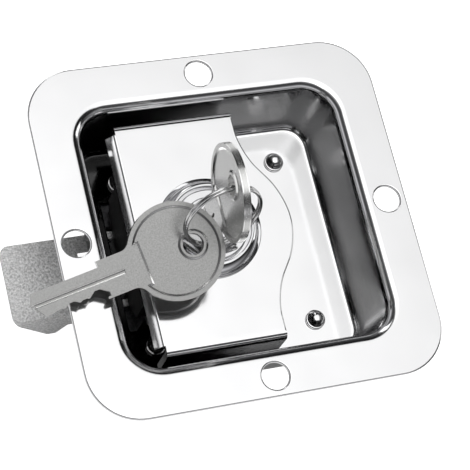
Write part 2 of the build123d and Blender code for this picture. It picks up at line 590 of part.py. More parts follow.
def make_cam():
    """Locking cam on the plug's tail, pointing up while the lock is open."""
    tip = CAM_REACH - CAM_HALF
    shape = Circle(CAM_HUB_R) + Pos(0, tip) * Circle(CAM_HALF)
    shape += Pos(0, tip / 2) * Rectangle(2 * CAM_HALF, tip)
    shape -= Rectangle(2 * TAIL_HALF, 2 * TAIL_HALF)
    return Pos(LOCK_X, 0, CAM_BACK) * extrude(shape, CAM_THICK)


def make_cam_screw():
    """Pan-head screw that holds the cam on the tail."""
    head = post(SCREW_HEAD_R, 0, 0, CAM_BACK - SCREW_HEAD, CAM_BACK)
    head = chamfer(head.edges().group_by(Axis.Z)[0], SCREW_HEAD * 0.4)
    screw = head + post(SCREW_R, 0, 0, CAM_BACK - SCREW_HEAD / 2, CAM_TOP)
    slot = SCREW_HEAD * 0.5
    slot_half = SCREW_SLOT * 3 / 16
    for turn in (0, 90):
        cross = block(-SCREW_SLOT, SCREW_SLOT, -slot_half, slot_half, CAM_BACK - SCREW_HEAD, CAM_BACK - slot)
        screw -= Rot(0, 0, turn) * cross
    return Pos(LOCK_X, 0, 0) * screw


def make_keeper():
    """Bent strip welded on the floor; the locked cam lies under its arm."""
    end = KEEPER_X + KEEPER_LONG
    arm = CAM_TOP + KEEPER_GAP
    stop = -KEEPER_STOP
    keeper = block(KEEPER_X, end, stop - KEEPER_SHEET, KEEPER_BASE, FLOOR_TOP, FLOOR_TOP + KEEPER_SHEET)
    keeper += block(KEEPER_X, end, stop - KEEPER_SHEET, stop, FLOOR_TOP, arm + KEEPER_SHEET)
    keeper += block(KEEPER_X, end, stop - KEEPER_SHEET, KEEPER_ARM, arm, arm + KEEPER_SHEET)
    bends = keeper.edges().filter_by(Axis.X).filter_by(
        lambda edge: abs(edge.center().Y - stop + KEEPER_SHEET) < 0.01 and edge.center().Z > FLOOR_TOP + 1)
    return fillet(bends, KEEPER_SHEET * 0.9)


def key_blank():
    """Outline of a key in its own plane: head at the origin, blade along +X."""
    neck = Pos(KEY_SHOULDER / 2, 0) * Rectangle(KEY_SHOULDER, 2 * KEY_NECK_HALF)
    blank = Circle(KEY_HEAD_R) + neck
    joins = [v for v in blank.vertices() if v.X < KEY_SHOULDER - 1 and v.X > KEY_PANEL]
    blank = fillet(joins, KEY_NECK_R)
    blade = make_face(Polyline(
        (KEY_PANEL, -KEY_BLADE_HALF), (KEY_TIP - KEY_POINT_BACK, -KEY_BLADE_HALF), (KEY_TIP, -KEY_BLADE_HALF * 0.25),
        (KEY_TIP - KEY_POINT, KEY_BLADE_HALF), (KEY_PANEL, KEY_BLADE_HALF), close=True))
    blank += blade
    for place, deep in KEY_CUTS:
        edge = KEY_BLADE_HALF
        blank -= make_face(Polyline(
            (place - 1.3 - deep, edge + 1), (place - 1.3 - deep, edge), (place - 0.7, edge - deep),
            (place + 0.7, edge - deep), (place + 1.3 + deep, edge), (place + 1.3 + deep, edge + 1), close=True))
    return blank - Pos(-KEY_HOLE, 0) * Circle(KEY_HOLE_R)


def make_key_shape():
    """A key lying flat: sunk head on both faces, raised neck and a grooved blade."""
    half = KEY_THICK / 2
    key = extrude(Pos(0, 0, -half) * key_blank(), KEY_THICK)
    pocket = Circle(KEY_HEAD_R - KEY_RIM)
    pocket -= Pos(KEY_PANEL + KEY_HEAD_R, 0) * Rectangle(2 * KEY_HEAD_R, 2 * KEY_NECK_HALF + 0.6)
    pocket -= Pos(-KEY_HOLE, 0) * Circle(KEY_HOLE_R + 0.6)
    groove_start = KEY_SHOULDER - KEY_GROOVE_LEAD
    groove = Pos((groove_start + KEY_TIP) / 2 + 1, 0) * Rectangle(KEY_TIP - groove_start + 2, KEY_GROOVE)
    for face in (-1, 1):
        key -= extrude(Pos(0, 0, face * half) * pocket, -face * KEY_SUNK)
        key -= extrude(Pos(0, 0, face * half) * groove, -face * KEY_GROOVE_DEEP)
    return key


def make_key():
    """The key in the lock, its blade down the keyway."""
    return Plane(origin=(LOCK_X, 0, KEY_Z), x_dir=(0, 0, -1), z_dir=(-1, 0, 0)) * make_key_shape()


def spare_plane():
    """Plane of the spare key: its head centre, its blade's direction and its face."""
    along = (SPARE_TIP - SPARE_HOLE).normalized()
    face = (SPARE_FACE - along * SPARE_FACE.dot(along)).normalized()
    return Plane(origin=SPARE_HOLE + along * KEY_HOLE, x_dir=along, z_dir=face)


def make_spare_key():
    """The spare key, hanging on the ring with its blade over the flange."""
    return spare_plane() * make_key_shape()


def ring_plane():
    """Plane of the split ring, which runs through both keys' holes."""
    hang = spare_plane()
    chord = SPARE_HOLE + hang.x_dir * RING_EASE_ALONG + hang.y_dir * RING_EASE_ACROSS - RING_TOP
    along = chord.normalized()
    axis = (RING_LEAN - along * RING_LEAN.dot(along)).normalized()
    off = sqrt(RING_R ** 2 - (chord.length / 2) ** 2)
    outward = axis.cross(along)
    if outward.X < 0:
        outward = outward * -1
    return Plane(origin=RING_TOP + chord * 0.5 + outward * off, z_dir=axis)


def make_ring():
    """Split ring of two turns of flattened wire lying on each other."""
    bite = RING_WIRE * 0.22
    turns = []
    for side in (-1, 1):
        wire = Pos(RING_R, side * (RING_TURN + RING_GAP) / 2) * Rectangle(RING_WIRE, RING_TURN)
        turns.append(chamfer(wire.vertices(), bite))
    section = turns[0] + turns[1]
    section += Pos(RING_R, 0) * Rectangle(RING_WIRE * 0.5, RING_TURN)
    return ring_plane() * revolve(Plane.XZ * section, Axis.Z)


PIECES = {
    "pan": make_pan,
    "rear_bracket": make_rear_bracket,
    "bracket_rivets": make_rivets,
    "hinge_pin": make_hinge_pin,
    "hinge_clip": make_hinge_clip,
    "lock_keeper": make_keeper,
    "spring_rod": make_spring_rod,
    "return_spring": make_spring,
    "slam_bolt": make_bolt,
    "drive_pin": make_drive_pin,
    "paddle": make_paddle,
    "lever": make_lever,
    "lock_bezel": make_bezel,
    "lock_barrel": make_barrel,
    "lock_washer": make_washer,
    "lock_nut": make_nut,
    "lock_plug": make_plug,
    "lock_wafers": make_wafers,
    "lock_cam": make_cam,
    "cam_screw": make_cam_screw,
    "key": make_key,
    "split_ring": make_ring,
    "spare_key": make_spare_key,
}


def write_pieces():
    """Builds each piece and writes its STEP file."""
    for name, make in PIECES.items():
        piece = make()
        if isinstance(piece, list):
            piece = Compound(children=piece)
        export_step(piece, f"parts/{name}.step")


write_pieces()
hoop = ring_plane()
print("ring centre", tuple(hoop.origin), "axis", tuple(hoop.z_dir), "top", tuple(RING_TOP))
print(f"bolt travel {BOLT_TRAVEL:.3f} mm, ratio {BOLT_TRAVEL / 1000 / radians(LIFT):.6f} m per radian")
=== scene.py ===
# %% [markdown]
# # A flush paddle latch with two keys
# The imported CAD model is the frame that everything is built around. It comes in first, and its
# box is kept, so that the finished pieces can be measured against it at the end.

from math import atan2, cos, pi, radians, sin

import bmesh
import bpy
from mathutils import Matrix, Vector


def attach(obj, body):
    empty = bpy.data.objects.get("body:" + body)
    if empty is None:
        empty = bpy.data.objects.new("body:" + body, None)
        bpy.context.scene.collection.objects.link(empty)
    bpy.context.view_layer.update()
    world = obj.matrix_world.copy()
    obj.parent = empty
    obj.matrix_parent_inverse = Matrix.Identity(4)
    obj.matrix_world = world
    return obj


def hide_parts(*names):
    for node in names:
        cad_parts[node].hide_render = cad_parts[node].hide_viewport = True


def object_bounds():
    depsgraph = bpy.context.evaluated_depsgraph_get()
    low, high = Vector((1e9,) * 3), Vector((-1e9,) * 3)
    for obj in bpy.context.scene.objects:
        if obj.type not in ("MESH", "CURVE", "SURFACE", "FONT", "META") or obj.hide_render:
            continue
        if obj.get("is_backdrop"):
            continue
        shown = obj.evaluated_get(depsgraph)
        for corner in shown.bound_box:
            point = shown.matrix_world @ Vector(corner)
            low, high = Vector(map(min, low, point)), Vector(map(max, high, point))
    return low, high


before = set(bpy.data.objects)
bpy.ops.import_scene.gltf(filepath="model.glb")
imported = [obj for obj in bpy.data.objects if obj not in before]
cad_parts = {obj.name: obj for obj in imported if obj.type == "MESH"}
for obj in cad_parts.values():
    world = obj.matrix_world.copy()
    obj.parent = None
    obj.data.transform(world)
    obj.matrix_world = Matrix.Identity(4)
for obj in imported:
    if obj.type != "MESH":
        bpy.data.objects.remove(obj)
cad_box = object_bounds()

# %% [markdown]
# The object was photographed from its lower left, with a long lens that keeps its edges nearly
# parallel. A camera could be aimed by eye, but this place and turn were fitted to the flange's
# four corners and four holes, so that every edge can be compared with the photograph.

# %% Camera
MM = 0.001
camera_data = bpy.data.cameras.new("photo_camera")
camera_data.sensor_width = 36.0
camera_data.lens = 138.69
camera_data.clip_start = 0.05
camera_data.clip_end = 20.0
camera = bpy.data.objects.new("photo_camera", camera_data)
camera.location = (-0.14111, -0.14816, 0.41745)
camera.rotation_euler = (radians(22.080), radians(-13.613), radians(-13.989))
bpy.context.scene.collection.objects.link(camera)
bpy.context.scene.camera = camera
bpy.context.scene.view_settings.view_transform = "Standard"
print("camera at", [round(value, 4) for value in camera.location])

# %% [markdown]
# ## The studio
# Polished steel shows what stands round it, so the room matters as much as the metal. A picture of
# a room could be wrapped round the object, but a few painted bands are easier to move until every
# rounding looks right. Two node helpers come first: a soft step, and a sum of two values.

# %% Node helpers
def fade(tree, source, start, end, low=0.0):
    """A value that rises softly from a low one to 1 while its source goes from start to end."""
    step = tree.nodes.new("ShaderNodeMapRange")
    step.interpolation_type = "SMOOTHSTEP"
    step.inputs["From Min"].default_value = start
    step.inputs["From Max"].default_value = end
    step.inputs["To Min"].default_value = low
    tree.links.new(source, step.inputs["Value"])
    return step.outputs["Result"]


def combine(tree, operation, first, second):
    """Two values put together by one sum."""
    step = tree.nodes.new("ShaderNodeMath")
    step.operation = operation
    tree.links.new(first, step.inputs[0])
    tree.links.new(second, step.inputs[1])
    return step.outputs[0]


print("node helpers ready")

# %% [markdown]
# The room is painted by height, from straight below at 0 to straight above at 1. The dim part
# above the middle gives the black walls of the dish, and the lighter bands under it draw a bright
# line low on every rounding.

# %% Room by height
ROOM_SHADES = ((0.0, 0.85), (0.58, 0.20), (0.66, 0.70), (0.73, 0.22),
               (0.79, 0.05), (0.87, 0.06), (0.91, 0.11), (1.0, 1.0))
COOL = 1.03
world = bpy.data.worlds.new("studio")
bpy.context.scene.world = world
world.use_nodes = True
studio = world.node_tree
studio.nodes.clear()
place = studio.nodes.new("ShaderNodeTexCoord")
axes = studio.nodes.new("ShaderNodeSeparateXYZ")
studio.links.new(place.outputs["Generated"], axes.inputs[0])
height = studio.nodes.new("ShaderNodeMapRange")
height.inputs["From Min"].default_value = -1.0
studio.links.new(axes.outputs["Z"], height.inputs["Value"])
room = studio.nodes.new("ShaderNodeValToRGB")
studio.links.new(height.outputs["Result"], room.inputs[0])
stops = room.color_ramp.elements
for spot, shade in ROOM_SHADES[1:-1]:
    stops.new(spot)
for stop, (spot, shade) in zip(stops, ROOM_SHADES):
    stop.color = (shade, shade, min(shade * COOL, 1.0), 1)
print("room stops", len(stops))

# %% [markdown]
# The room is bright on the near side only, as if pale paper stood there, so edges that face away
# stay dark. Close to the floor the paper goes all the way round, so that the roundings at the far
# side keep a thin light line.

# %% Paper by side
PAPER_SIDE = (-0.90, -0.45, 0)
towards = studio.nodes.new("ShaderNodeVectorMath")
towards.operation = "DOT_PRODUCT"
towards.inputs[1].default_value = PAPER_SIDE
studio.links.new(place.outputs["Generated"], towards.inputs[0])
paper = fade(studio, towards.outputs["Value"], -0.85, 0.30, low=0.03)
horizon = fade(studio, axes.outputs["Z"], 0.22, 0.10)
brightness = combine(studio, "MAXIMUM", paper, horizon)
print("paper stands towards", PAPER_SIDE)

# %% [markdown]
# Three kinds of ray see three worlds. The camera sees the photograph's pure white ground, mirror
# rays see the painted room, and all others meet an even soft light, which keeps dull faces at
# about their own colour.

# %% Who sees which world
FILL_LIGHT = 0.74
WHITE = (1, 1, 1, 1)
ray = studio.nodes.new("ShaderNodeLightPath")


def switch(ray_kind, off, on):
    """Shows one shader to a kind of ray and another one to all the rest."""
    mix = studio.nodes.new("ShaderNodeMixShader")
    studio.links.new(ray.outputs[ray_kind], mix.inputs[0])
    studio.links.new(off.outputs[0], mix.inputs[1])
    studio.links.new(on.outputs[0], mix.inputs[2])
    return mix


ground, mirrored, fill = [studio.nodes.new("ShaderNodeBackground") for part in range(3)]
ground.inputs["Color"].default_value = WHITE
fill.inputs["Color"].default_value = WHITE
fill.inputs["Strength"].default_value = FILL_LIGHT
studio.links.new(room.outputs["Color"], mirrored.inputs["Color"])
studio.links.new(brightness, mirrored.inputs["Strength"])
surface = switch("Is Camera Ray", switch("Is Glossy Ray", fill, mirrored), ground)
output = studio.nodes.new("ShaderNodeOutputWorld")
studio.links.new(surface.outputs[0], output.inputs[0])
print("world nodes", len(studio.nodes))

# %% [markdown]
# The key light hangs where the camera's view is thrown back by the flat faces, which makes the
# flange and the paddle white. Its size decides how far a face may lean before it turns dark. Two
# smaller lights, at the right and at the top, stand where the sloping steps of the keys see them,
# and draw their fine bright lines.

# %% Lights
LAMP_DISTANCE = 1.3


def soft_light(name, aim, wide, high, radiance):
    """A rectangular light that looks at the object from a direction, as bright as stated."""
    data = bpy.data.lights.new(name, "AREA")
    data.shape = "RECTANGLE"
    data.size = wide
    data.size_y = high
    data.energy = radiance * pi * wide * high
    lamp = bpy.data.objects.new(name, data)
    direction = Vector(aim).normalized()
    lamp.location = direction * LAMP_DISTANCE
    across = Vector((direction.z, 0, -direction.x)).normalized()
    turn = Matrix((across, direction.cross(across), direction)).transposed()
    lamp.rotation_euler = turn.to_euler()
    bpy.context.scene.collection.objects.link(lamp)
    return lamp


key_light = soft_light("key_light", (0.09, 0.05, 1.0), wide=1.20, high=1.36, radiance=0.90)
soft_light("right_strip", (0.92, 0.09, 0.38), wide=0.56, high=0.44, radiance=1.3)
soft_light("upper_strip", (0.02, 0.86, 0.54), wide=0.26, high=0.84, radiance=1.4)
print("key light", [round(value, 2) for value in key_light.location])

# %% [markdown]
# The latch lies on its back on a pale floor, just under its lowest piece. The paint glows for the
# camera and through glass only: that makes the ground white to the eye, adds no light to the
# object, and leaves a faint shadow.

# %% Floor
FLOOR_SIZE, FLOOR_GAP, FLOOR_GLOW = 6.0, 0.0002, 0.93
bpy.ops.object.select_all(action="DESELECT")
bpy.ops.mesh.primitive_plane_add(size=FLOOR_SIZE, location=(0, 0, cad_box[0].z - FLOOR_GAP))
floor = bpy.context.object
floor.name = "floor"
floor_paint = bpy.data.materials.new("floor_paint")
floor_paint.use_nodes = True
coat = floor_paint.node_tree
paint = coat.nodes["Principled BSDF"]
paint.inputs["Base Color"].default_value = (0.85, 0.85, 0.85, 1)
paint.inputs["Roughness"].default_value = 0.9
paint.inputs["Emission Color"].default_value = WHITE
rays = coat.nodes.new("ShaderNodeLightPath").outputs
seen = combine(coat, "MAXIMUM", rays["Is Camera Ray"], rays["Is Transmission Ray"])
glow = coat.nodes.new("ShaderNodeMath")
glow.operation = "MULTIPLY"
glow.inputs[1].default_value = FLOOR_GLOW
coat.links.new(seen, glow.inputs[0])
coat.links.new(glow.outputs[0], paint.inputs["Emission Strength"])
floor.data.materials.append(floor_paint)
floor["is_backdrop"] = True
print("floor at", round(floor.location.z, 4))

# %% [markdown]
# ## Metals
# Every finish starts from the same shader. Noise in object coordinates changes the colour, the
# roughness and the relief a little, so that no face is one flat tone. A photograph of metal could
# be laid on instead, but noise has no seams and no edge. The grain and the relief are given in
# millimetres, so they keep their real size.

# %% Metal helper
def metal(name, tone, rough, grain, relief, tone_spread, rough_spread, detail=6.0):
    """A metal whose colour, roughness and relief vary at the size of one grain."""
    material = bpy.data.materials.new(name)
    material.use_nodes = True
    nodes, links = material.node_tree.nodes, material.node_tree.links
    shader = nodes["Principled BSDF"]
    shader.inputs["Metallic"].default_value = 1.0
    where = nodes.new("ShaderNodeTexCoord")
    noise = nodes.new("ShaderNodeTexNoise")
    noise.inputs["Scale"].default_value = 1.0 / (grain * MM)
    noise.inputs["Detail"].default_value = detail
    noise.inputs["Roughness"].default_value = 0.6
    links.new(where.outputs["Object"], noise.inputs["Vector"])
    colour = nodes.new("ShaderNodeValToRGB")
    dark, light = colour.color_ramp.elements
    dark.position, light.position = 0.3, 0.7
    dark.color = (*[max(channel - tone_spread, 0) for channel in tone], 1)
    light.color = (*[min(channel + tone_spread, 1) for channel in tone], 1)
    links.new(noise.outputs["Fac"], colour.inputs[0])
    links.new(colour.outputs["Color"], shader.inputs["Base Color"])
    gloss = nodes.new("ShaderNodeMapRange")
    gloss.inputs["To Min"].default_value = max(rough - rough_spread, 0.02)
    gloss.inputs["To Max"].default_value = rough + rough_spread
    links.new(noise.outputs["Fac"], gloss.inputs["Value"])
    links.new(gloss.outputs["Result"], shader.inputs["Roughness"])
    bump = nodes.new("ShaderNodeBump")
    bump.inputs["Strength"].default_value = 1.0
    bump.inputs["Distance"].default_value = relief * MM
    links.new(noise.outputs["Fac"], bump.inputs["Height"])
    links.new(bump.outputs["Normal"], shader.inputs["Normal"])
    return material


print("metal helper ready")

# %% [markdown]
# Polished stainless has only a long, faint wave from the press. The bolt's zinc plate is coarse
# and spotted, chrome is the smoothest, and nickel lies between them. The key on the ring gets a
# darker copy of the nickel as painted shade, and the lever's zinc is painted near black as shade.

# %% The metals
stainless = metal("polished_stainless", (0.87, 0.87, 0.875), rough=0.11, grain=14.0, relief=0.05,
                  tone_spread=0.02, rough_spread=0.03, detail=1.0)
zinc = metal("grainy_zinc", (0.80, 0.80, 0.80), rough=0.42, grain=0.55, relief=0.10,
             tone_spread=0.46, rough_spread=0.14)
chrome = metal("lock_chrome", (0.78, 0.78, 0.79), rough=0.07, grain=4.0, relief=0.008,
               tone_spread=0.02, rough_spread=0.03)
nickel = metal("satin_nickel", (0.72, 0.72, 0.71), rough=0.26, grain=0.35, relief=0.010,
               tone_spread=0.05, rough_spread=0.05)
# Painted shade: the key on the ring gets a darker copy of the same nickel.
shaded_nickel = metal("shaded_nickel", (0.30, 0.30, 0.296), rough=0.30, grain=0.35, relief=0.014,
                    tone_spread=0.06, rough_spread=0.06)
# Painted shade: a near-black zinc for the lever and the bracket in the dark gap.
painted_shade_zinc = metal("painted_shade_zinc", (0.10, 0.10, 0.105), rough=0.36, grain=0.6, relief=0.03,
                   tone_spread=0.03, rough_spread=0.10)
wire = metal("drawn_wire", (0.70, 0.70, 0.70), rough=0.14, grain=1.2, relief=0.004,
             tone_spread=0.05, rough_spread=0.05)
brass = metal("stamped_brass", (0.74, 0.58, 0.30), rough=0.25, grain=1.0, relief=0.006,
              tone_spread=0.05, rough_spread=0.05)
print("materials", len(bpy.data.materials))

# %% [markdown]
# Painted shade, painted highlights and changes of roughness lie on top of a finish, and only in
# some
# places. A mask says where: it is a soft step along one axis, in millimetres, and a layer is mixed
# over what the metal showed before.

# %% Layers on a metal
def band(tree, source, start, end):
    """A soft step between two places along an axis, in millimetres."""
    return fade(tree, source, start * MM, end * MM)


def lay_over(material, socket, mask, value):
    """Mixes one colour or value over what a socket shows, where a mask is 1."""
    tree = material.node_tree
    target = tree.nodes["Principled BSDF"].inputs[socket]
    blend = tree.nodes.new("ShaderNodeMixRGB")
    blend.inputs["Color2"].default_value = value
    tree.links.new(mask, blend.inputs["Fac"])
    tree.links.new(target.links[0].from_socket, blend.inputs["Color1"])
    tree.links.new(blend.outputs["Color"], target)


def grey(value):
    """One value as a colour."""
    return (value, value, value, 1)


print("layer helpers ready")

# %% [markdown]
# Inside the dish the colour carries painted shade. Left of the paddle and in the narrow channel
# below it the colour is painted near black, a painted shade for the deep gap, and the walls are
# painted darker than the flange and the floor as their shade; the press has also rubbed the walls
# rougher.
# Both follow the place in the dish, so the flange stays bright.

# %% Dish finish and painted shade
GAP_SHADE_LEFT, GAP_SHADE_BELOW = (-4.0, -24.0), (-30.5, -32.5)
INSIDE_DISH, OFF_FLOOR = (-1.5, -5.0), (-21.3, -19.0)
GAP_SHADE_TONE, WALL_SHADE_TONE, WALL_ROUGH = 0.05, 0.66, 0.24
pan_steel = stainless.copy()
pan_steel.name = "dish_stainless"
dish = pan_steel.node_tree
split = dish.nodes.new("ShaderNodeSeparateXYZ")
dish.links.new(dish.nodes.new("ShaderNodeTexCoord").outputs["Object"], split.inputs[0])
left = band(dish, split.outputs["X"], *GAP_SHADE_LEFT)
below = band(dish, split.outputs["Y"], *GAP_SHADE_BELOW)
inside = band(dish, split.outputs["Z"], *INSIDE_DISH)
off_floor = band(dish, split.outputs["Z"], *OFF_FLOOR)
painted_gap_shade = combine(dish, "MULTIPLY", combine(dish, "MAXIMUM", left, below), inside)
wall = combine(dish, "MULTIPLY", inside, off_floor)
# Painted shade: the walls darker, and the gap and its channel near black.
lay_over(pan_steel, "Base Color", wall, grey(WALL_SHADE_TONE))
lay_over(pan_steel, "Base Color", painted_gap_shade, grey(GAP_SHADE_TONE))
lay_over(pan_steel, "Roughness", wall, grey(WALL_ROUGH))
print("pan finish", pan_steel.name)

# %% [markdown]
# ## Hidden workings
# The pieces behind the floor and inside the lock keep their CAD shapes, and most get a real finish.
# Of the lever and the rear bracket only a strip shows, in the gap left of the paddle, and that gap
# is black, so both get a near-black zinc that is painted shade for the gap.

# %% Finishes of the CAD nodes
finishes = {
    "pan": pan_steel, "bracket_rivets": stainless, "rear_bracket": painted_shade_zinc,
    "hinge_pin": zinc, "hinge_clip": wire, "lock_keeper": zinc, "spring_rod": zinc,
    "return_spring": wire, "slam_bolt": zinc, "drive_pin": zinc, "paddle": stainless,
    "lever": painted_shade_zinc, "lock_bezel": chrome, "lock_barrel": chrome, "lock_washer": zinc,
    "lock_nut": zinc, "lock_plug": chrome, "lock_wafers": brass, "lock_cam": zinc,
    "cam_screw": zinc, "key": nickel, "split_ring": wire, "spare_key": shaded_nickel,
}
for node_name, finish in finishes.items():
    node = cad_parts[node_name]
    node.data.materials.clear()
    node.data.materials.append(finish)
print("finished nodes", len(finishes))

# %% [markdown]
# ## Modelling helpers
# A primitive is added at its size and place, opened in edit mode, and its vertices, edges or faces
# are picked by where they are. Lengths below are in millimetres, as they would be on a drawing.

# %% Start, open and close a piece
def choose(*pieces):
    """Selects these pieces alone and makes the first one active."""
    bpy.ops.object.select_all(action="DESELECT")
    for piece in pieces:
        piece.select_set(True)
    bpy.context.view_layer.objects.active = pieces[0]


def begin(name, maker, at=(0, 0, 0), **sizes):
    """A primitive of the given sizes, selected alone, with its place already in its mesh."""
    bpy.ops.object.select_all(action="DESELECT")
    maker(location=Vector(at) * MM, **sizes)
    piece = bpy.context.object
    piece.name = name
    bpy.ops.object.transform_apply(location=True, rotation=True, scale=True)
    return piece


def open_up(piece):
    """Edit mode on one piece, with nothing selected."""
    choose(piece)
    bpy.ops.object.mode_set(mode="EDIT")
    bpy.ops.mesh.select_mode(type="VERT")
    bpy.ops.mesh.select_all(action="DESELECT")


def close_up():
    """Back to object mode."""
    bpy.ops.object.mode_set(mode="OBJECT")


print("piece helpers ready")

# %% [markdown]
# By hand you would click what you want to move. In code the choice is a rule about places, which
# picks the same faces again however often the script runs. Places nearer than NEAR, in
# millimetres, count as one, and a face counts as level when its normal rises above FLAT.

# %% Pick and move
NEAR, FLAT = 0.01, 0.9


def pick(piece, kind, rule):
    """Selects the vertices, edges or faces whose middle, and normal for a face, keep to a rule."""
    bpy.ops.mesh.select_mode(type=kind)
    bpy.ops.mesh.select_all(action="DESELECT")
    mesh = bmesh.from_edit_mesh(piece.data)
    found = 0
    for item in {"VERT": mesh.verts, "EDGE": mesh.edges, "FACE": mesh.faces}[kind]:
        if kind == "VERT":
            keep = rule(item.co / MM)
        elif kind == "EDGE":
            keep = rule((item.verts[0].co + item.verts[1].co) / (2 * MM))
        else:
            keep = rule(item.calc_center_median() / MM, item.normal)
        if keep:
            item.select_set(True)
            found += 1
    mesh.select_flush(True)
    bmesh.update_edit_mesh(piece.data)
    return found


def shift(x=0, y=0, z=0):
    """Moves what is selected, in millimetres."""
    bpy.ops.transform.translate(value=(x * MM, y * MM, z * MM))


def face_up(piece):
    """Turns all faces of an open sheet to one side, the upper one."""
    bpy.ops.mesh.select_all(action="SELECT")
    bpy.ops.mesh.normals_make_consistent(inside=False)
    faces = bmesh.from_edit_mesh(piece.data).faces
    if sum(face.normal.z * face.calc_area() for face in faces) < 0:
        bpy.ops.mesh.flip_normals()


print("pick helpers ready")

# %% [markdown]
# Modifiers do what would be slow by hand: give a sheet its thickness, cut one piece with another,
# round every sharp edge. Each is applied at once, so that the next step works on real geometry.
# After the rounding, weighted normals keep the flat faces flat in their shading.

# %% Modifiers
def use(piece, modifier_type, **settings):
    """Adds a modifier with its settings and applies it."""
    choose(piece)
    modifier = piece.modifiers.new(modifier_type.lower(), modifier_type)
    for key, value in settings.items():
        setattr(modifier, key, value)
    bpy.ops.object.modifier_apply(modifier=modifier.name)


def carve(piece, cutter, operation="DIFFERENCE"):
    """Cuts a piece with another, or joins them into one skin, and clears the other away."""
    use(piece, "BOOLEAN", object=cutter, operation=operation, solver="EXACT")
    bpy.data.objects.remove(cutter, do_unlink=True)


def round_edges(piece, width, segments=3, angle=35, clamp=True):
    """Rounds the sharp edges and keeps the flat faces flat in their shading."""
    choose(piece)
    bpy.ops.object.shade_smooth()
    use(piece, "BEVEL", width=width * MM, segments=segments, limit_method="ANGLE",
        angle_limit=radians(angle), harden_normals=False, use_clamp_overlap=clamp,
        miter_outer="MITER_ARC")
    use(piece, "WEIGHTED_NORMAL", keep_sharp=False, weight=100)


print("modifier helpers ready")

# %% [markdown]
# A finished piece gets its metal, rides on the body that carries it, and takes the place of the
# CAD nodes that it was modelled after.

# %% Dress a piece
def dress(piece, finish, body, slot, *nodes):
    """Gives a finished piece its metal, its body and the CAD nodes that it stands for."""
    piece.data.materials.clear()
    piece.data.materials.append(finish)
    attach(piece, body)
    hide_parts(*nodes)
    triangles = sum(len(face.vertices) - 2 for face in piece.data.polygons)
    print(piece.name, "triangles", triangles)


print("dress helper ready")

# %% [markdown]
# ## The pan
# The real pan is pressed from one sheet of stainless: a flat flange, a rounded lip, steep walls and
# a flat floor. The flange has its own corner radius, so it is a bridge between two rounded squares,
# and the inner one is where the lip begins.

# %% Flange
SHEET, FACE_Z, FLOOR_Z = 1.2, 1.2, -21.7
PLATE_HALF, PLATE_CORNER = 47.5, 13.6
MOUTH_HALF, MOUTH_CORNER = 34.9, 8.4
LIP, FOOT = 3.0, 1.6
DRAFT_IN, DEPTH = 1.7, 22.9
CORNER_STEPS = 14
DRAFT = atan2(DRAFT_IN, DEPTH)
lip_half = MOUTH_HALF + LIP * (1 - sin(DRAFT)) / cos(DRAFT)
lip_corner = MOUTH_CORNER + lip_half - MOUTH_HALF
pan = begin("pressed_pan", bpy.ops.mesh.primitive_plane_add, at=(0, 0, FACE_Z),
            size=2 * PLATE_HALF * MM)
open_up(pan)
bpy.ops.mesh.select_all(action="SELECT")
bpy.ops.mesh.bevel(offset=PLATE_CORNER * MM, segments=CORNER_STEPS, affect="VERTICES")
bpy.ops.mesh.primitive_plane_add(size=2 * lip_half * MM, location=(0, 0, FACE_Z * MM))
bpy.ops.mesh.bevel(offset=lip_corner * MM, segments=CORNER_STEPS, affect="VERTICES")
bpy.ops.mesh.select_all(action="SELECT")
bpy.ops.mesh.delete(type="ONLY_FACE")
bpy.ops.mesh.select_all(action="SELECT")
bpy.ops.mesh.bridge_edge_loops()
print("flange points", len(bmesh.from_edit_mesh(pan.data).verts))

# %% [markdown]
# A press keeps one distance from the mouth all the way down, and so does Inset, so the dish is one
# face that is inset and lowered again and again. Its steps are worked out first: nine round the
# lip, four down the wall and six round the foot. One last inset lies on the floor and keeps the
# shading of the foot out of its middle.

# %% Steps of the dish
LIP_STEPS, WALL_STEPS, FOOT_STEPS, FLOOR_MARGIN = 9, 4, 6, 0.6
profile = []
for step in range(1, LIP_STEPS + 1):
    turn = radians(90) + (radians(90) - DRAFT) * step / LIP_STEPS
    profile.append((lip_half + LIP * cos(turn), FACE_Z - LIP + LIP * sin(turn)))
foot_half = MOUTH_HALF - DRAFT_IN * (FACE_Z - FLOOR_Z - FOOT) / DEPTH - FOOT / cos(DRAFT)
foot_top = (foot_half + FOOT * cos(DRAFT), FLOOR_Z + FOOT - FOOT * sin(DRAFT))
wall_top = profile[-1]
for step in range(1, WALL_STEPS):
    share = step / WALL_STEPS
    profile.append(tuple(a + (b - a) * share for a, b in zip(wall_top, foot_top)))
for step in range(FOOT_STEPS + 1):
    turn = -DRAFT - (radians(90) - DRAFT) * step / FOOT_STEPS
    profile.append((foot_half + FOOT * cos(turn), FLOOR_Z + FOOT + FOOT * sin(turn)))
profile.append((foot_half - FLOOR_MARGIN, FLOOR_Z))
print("steps", len(profile))

# %% [markdown]
# The mouth is closed with one face, which then goes down step by step. Solidify gives the whole
# sheet its thickness, downwards, so the face that was drawn stays where it is.

# %% Dish
pick(pan, "VERT", lambda p: max(abs(p.x), abs(p.y)) < lip_half + 0.05)
bpy.ops.mesh.edge_face_add()
half, level = lip_half, FACE_Z
for next_half, next_level in profile:
    bpy.ops.mesh.inset(thickness=(half - next_half) * MM, depth=0, use_even_offset=True)
    shift(z=next_level - level)
    half, level = next_half, next_level
face_up(pan)
close_up()
use(pan, "SOLIDIFY", thickness=SHEET * MM, offset=-1.0, use_even_offset=True)
print("dish floor at", round(level, 2), "half", round(half, 2))

# %% [markdown]
# A punch, an ear or a rivet's shank is a plain block or drum. Both helpers put one where the
# drawing has it, and Boolean then cuts or joins it.

# %% Blocks and drums
def block(name, low, high):
    """A rectangular block between two corners."""
    middle = [(a + b) / 2 for a, b in zip(low, high)]
    piece = begin(name, bpy.ops.mesh.primitive_cube_add, at=middle, size=MM)
    bpy.ops.transform.resize(value=[abs(b - a) for a, b in zip(low, high)],
                             center_override=Vector(middle) * MM)
    bpy.ops.object.transform_apply(location=True, rotation=True, scale=True)
    return piece


